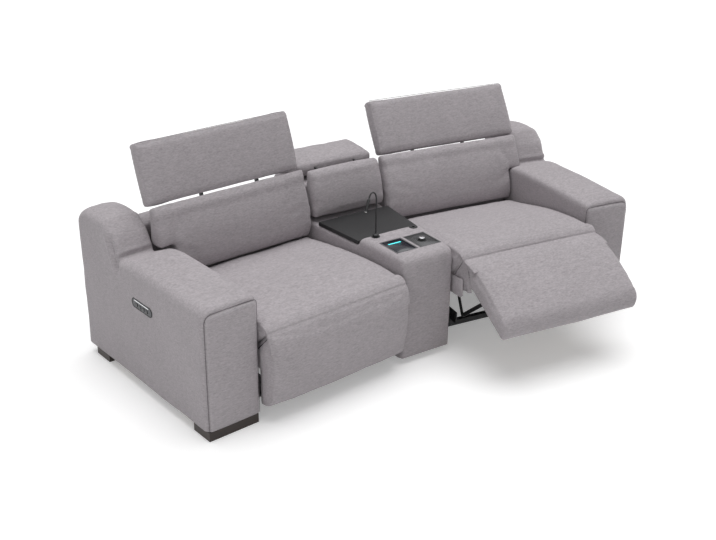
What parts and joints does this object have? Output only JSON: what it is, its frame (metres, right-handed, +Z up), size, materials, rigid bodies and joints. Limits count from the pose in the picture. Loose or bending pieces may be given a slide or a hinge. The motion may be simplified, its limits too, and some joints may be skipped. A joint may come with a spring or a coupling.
{
  "type": "console sofa",
  "caption": "Reclining sofa for two with a fixed wedge console between the seats: footrests, backs and headrests move, the console has a lidded box, a dial and a lamp.",
  "frame": {"origin": "on the floor, in the middle of the console's front foot", "axes": "+X to the sofa's right end as seen from the front, +Y to the back, +Z up"},
  "size_m": [2.4848, 1.4097, 1.0024],
  "materials": {
    "grey_fabric": "woven upholstery, taupe grey",
    "plywood": "raw plywood",
    "dark_wood": "dark stain",
    "painted_steel": "satin black paint",
    "webbing": "elastic webbing",
    "black_plastic": "matte",
    "silver_plastic": "silver",
    "gloss_black": "gloss",
    "black_metal": "black anodised"
  },
  "bodies": {
    "frame": {"arm_frames": "plywood", "base_rails": "painted_steel", "feet": "dark_wood", "console_cover": "grey_fabric", "console_carcass": "plywood", "console_hinge_posts": "painted_steel", "accessory_docks": "gloss_black", "touch_panel": "gloss_black", "dial_panel": "gloss_black", "center_back_cushion": "grey_fabric", "center_back_block": "grey_fabric", "arm_cover_left": "grey_fabric", "arm_front_panel_left": "grey_fabric", "switch_housing_left": "black_plastic", "arm_cover_right": "grey_fabric", "arm_front_panel_right": "grey_fabric", "switch_housing_right": "black_plastic"},
    "slide_left": {"slide_frame_left": "painted_steel", "recline_motor_left": "black_plastic"},
    "shuttle_left": {"motor_shuttle_left": "black_plastic"},
    "seat_left": {"seat_frame_left": "painted_steel", "seat_webbing_left": "webbing", "seat_cushion_left": "grey_fabric"},
    "footrest_left": {"footrest_board_left": "plywood", "footrest_pad_left": "grey_fabric"},
    "crank_left": {"footrest_crank_left": "painted_steel"},
    "couplers_left": {"footrest_couplers_left": "painted_steel"},
    "back_left": {"back_frame_left": "painted_steel", "back_shell_left": "grey_fabric", "lumbar_cushion_left": "grey_fabric"},
    "headrest_left": {"headrest_bracket_left": "painted_steel", "headrest_pad_left": "grey_fabric"},
    "button_1_left": {"switch_button_1_left": "silver_plastic"},
    "button_2_left": {"switch_button_2_left": "silver_plastic"},
    "button_3_left": {"switch_button_3_left": "silver_plastic"},
    "button_4_left": {"switch_button_4_left": "silver_plastic"},
    "slide_right": {"slide_frame_right": "painted_steel", "recline_motor_right": "black_plastic"},
    "shuttle_right": {"motor_shuttle_right": "black_plastic"},
    "seat_right": {"seat_frame_right": "painted_steel", "seat_webbing_right": "webbing", "seat_cushion_right": "grey_fabric"},
    "footrest_right": {"footrest_board_right": "plywood", "footrest_pad_right": "grey_fabric"},
    "crank_right": {"footrest_crank_right": "painted_steel"},
    "couplers_right": {"footrest_couplers_right": "painted_steel"},
    "back_right": {"back_frame_right": "painted_steel", "back_shell_right": "grey_fabric", "lumbar_cushion_right": "grey_fabric"},
    "headrest_right": {"headrest_bracket_right": "painted_steel", "headrest_pad_right": "grey_fabric"},
    "button_1_right": {"switch_button_1_right": "silver_plastic"},
    "button_2_right": {"switch_button_2_right": "silver_plastic"},
    "button_3_right": {"switch_button_3_right": "silver_plastic"},
    "button_4_right": {"switch_button_4_right": "silver_plastic"},
    "lid": {"console_lid": "black_plastic"},
    "knob": {"dial_knob": "silver_plastic"},
    "lamp": {"reading_lamp": "black_metal"},
    "center_headrest": {"center_headrest_bracket": "painted_steel", "center_headrest_pad": "grey_fabric"}
  },
  "joints": [
    {"name": "seat_slide_left", "type": "slide", "parent": "frame", "child": "slide_left", "axis": [0.108, -0.9942, 0], "range_m": [0, 0.07805]},
    {"name": "motor_shuttle_left_run", "type": "slide", "parent": "slide_left", "child": "shuttle_left", "axis": [0.108, -0.9942, 0], "range_m": [0, 0.14825]},
    {"name": "seat_tilt_left", "type": "hinge", "parent": "slide_left", "child": "seat_left", "pos_m": [-0.56682, 0.3969, 0.262], "axis": [-0.9942, -0.108, 0], "range_deg": [0, 8.4]},
    {"name": "footrest_left_open", "type": "hinge", "parent": "seat_left", "child": "footrest_left", "pos_m": [-0.50548, -0.16778, 0.426], "axis": [-0.9942, -0.108, 0], "range_deg": [0, 78]},
    {"name": "crank_left_turn", "type": "hinge", "parent": "seat_left", "child": "crank_left", "pos_m": [-0.52902, 0.04895, 0.281], "axis": [-0.9942, -0.108, 0], "range_deg": [0, 78.05]},
    {"name": "coupler_left_turn", "type": "hinge", "parent": "crank_left", "child": "couplers_left", "pos_m": [-0.54198, 0.16825, 0.125], "axis": [-0.9942, -0.108, 0], "range_deg": [-78.05, 0]},
    {"name": "back_recline_left", "type": "hinge", "parent": "seat_left", "child": "back_left", "pos_m": [-0.58356, 0.55099, 0.284], "axis": [-0.9942, -0.108, 0], "range_deg": [0, 30]},
    {"name": "headrest_fold_left", "type": "hinge", "parent": "back_left", "child": "headrest_left", "pos_m": [-0.59569, 0.60701, 0.69], "axis": [-0.9942, -0.108, 0], "range_deg": [0, 66]},
    {"name": "button_1_left_press", "type": "slide", "parent": "frame", "child": "button_1_left", "axis": [0.9942, 0.108, 0], "range_m": [0, 0.0014], "stiffness_N_per_m": 600},
    {"name": "button_2_left_press", "type": "slide", "parent": "frame", "child": "button_2_left", "axis": [0.9942, 0.108, 0], "range_m": [0, 0.0014], "stiffness_N_per_m": 600},
    {"name": "button_3_left_press", "type": "slide", "parent": "frame", "child": "button_3_left", "axis": [0.9942, 0.108, 0], "range_m": [0, 0.0014], "stiffness_N_per_m": 600},
    {"name": "button_4_left_press", "type": "slide", "parent": "frame", "child": "button_4_left", "axis": [0.9942, 0.108, 0], "range_m": [0, 0.0014], "stiffness_N_per_m": 600},
    {"name": "seat_slide_right", "type": "slide", "parent": "frame", "child": "slide_right", "axis": [-0.108, -0.9942, 0], "range_m": [-0.05605, 0.02205]},
    {"name": "motor_shuttle_right_run", "type": "slide", "parent": "slide_right", "child": "shuttle_right", "axis": [-0.108, -0.9942, 0], "range_m": [-0.10645, 0.04185]},
    {"name": "seat_tilt_right", "type": "hinge", "parent": "slide_right", "child": "seat_right", "pos_m": [0.56078, 0.34123, 0.262], "axis": [-0.9942, 0.108, 0], "range_deg": [-6.04, 2.4]},
    {"name": "footrest_right_open", "type": "hinge", "parent": "seat_right", "child": "footrest_right", "pos_m": [0.50162, -0.20335, 0.4844], "axis": [-0.9942, 0.108, 0], "range_deg": [-56, 22]},
    {"name": "crank_right_turn", "type": "hinge", "parent": "seat_right", "child": "crank_right", "pos_m": [0.5234, -0.00285, 0.31743], "axis": [-0.9942, 0.108, 0], "range_deg": [-56.05, 22.05]},
    {"name": "coupler_right_turn", "type": "hinge", "parent": "crank_right", "child": "couplers_right", "pos_m": [0.51461, -0.08375, 0.13823], "axis": [-0.9942, 0.108, 0], "range_deg": [-22.05, 56.05]},
    {"name": "back_recline_right", "type": "hinge", "parent": "seat_right", "child": "back_right", "pos_m": [0.57767, 0.49676, 0.2677], "axis": [-0.9942, 0.108, 0], "range_deg": [-5.5, 24.5]},
    {"name": "headrest_fold_right", "type": "hinge", "parent": "back_right", "child": "headrest_right", "pos_m": [0.59841, 0.63206, 0.6542], "axis": [-0.9942, 0.108, 0], "range_deg": [0, 66]},
    {"name": "button_1_right_press", "type": "slide", "parent": "frame", "child": "button_1_right", "axis": [-0.9942, 0.108, 0], "range_m": [0, 0.0014], "stiffness_N_per_m": 600},
    {"name": "button_2_right_press", "type": "slide", "parent": "frame", "child": "button_2_right", "axis": [-0.9942, 0.108, 0], "range_m": [0, 0.0014], "stiffness_N_per_m": 600},
    {"name": "button_3_right_press", "type": "slide", "parent": "frame", "child": "button_3_right", "axis": [-0.9942, 0.108, 0], "range_m": [0, 0.0014], "stiffness_N_per_m": 600},
    {"name": "button_4_right_press", "type": "slide", "parent": "frame", "child": "button_4_right", "axis": [-0.9942, 0.108, 0], "range_m": [0, 0.0014], "stiffness_N_per_m": 600},
    {"name": "lid_open", "type": "hinge", "parent": "frame", "child": "lid", "pos_m": [0, 0.514, 0.498], "axis": [-1, 0, 0], "range_deg": [0, 85]},
    {"name": "dial_turn", "type": "hinge", "parent": "frame", "child": "knob", "pos_m": [0.0635, 0.052, 0.525], "axis": [0, 0, 1], "continuous": true},
    {"name": "lamp_swivel", "type": "hinge", "parent": "frame", "child": "lamp", "pos_m": [-0.092, 0.19, 0.53], "axis": [0, 0, 1], "range_deg": [-170, 170]},
    {"name": "center_headrest_raise", "type": "hinge", "parent": "frame", "child": "center_headrest", "pos_m": [0, 0.648, 0.69], "axis": [1, 0, 0], "range_deg": [0, 65]}
  ],
  "couplings": [
    {"joint": "seat_slide_left", "follows": "footrest_left_open", "m_per_rad": 0.057296},
    {"joint": "motor_shuttle_left_run", "follows": "footrest_left_open", "m_per_rad": 0.10886},
    {"joint": "seat_tilt_left", "follows": "footrest_left_open", "ratio": 0.107},
    {"joint": "crank_left_turn", "follows": "footrest_left_open", "ratio": 1},
    {"joint": "coupler_left_turn", "follows": "footrest_left_open", "ratio": -1},
    {"joint": "seat_slide_right", "follows": "footrest_right_open", "m_per_rad": 0.057296},
    {"joint": "motor_shuttle_right_run", "follows": "footrest_right_open", "m_per_rad": 0.10886},
    {"joint": "seat_tilt_right", "follows": "footrest_right_open", "ratio": 0.107},
    {"joint": "crank_right_turn", "follows": "footrest_right_open", "ratio": 1},
    {"joint": "coupler_right_turn", "follows": "footrest_right_open", "ratio": -1}
  ]
}
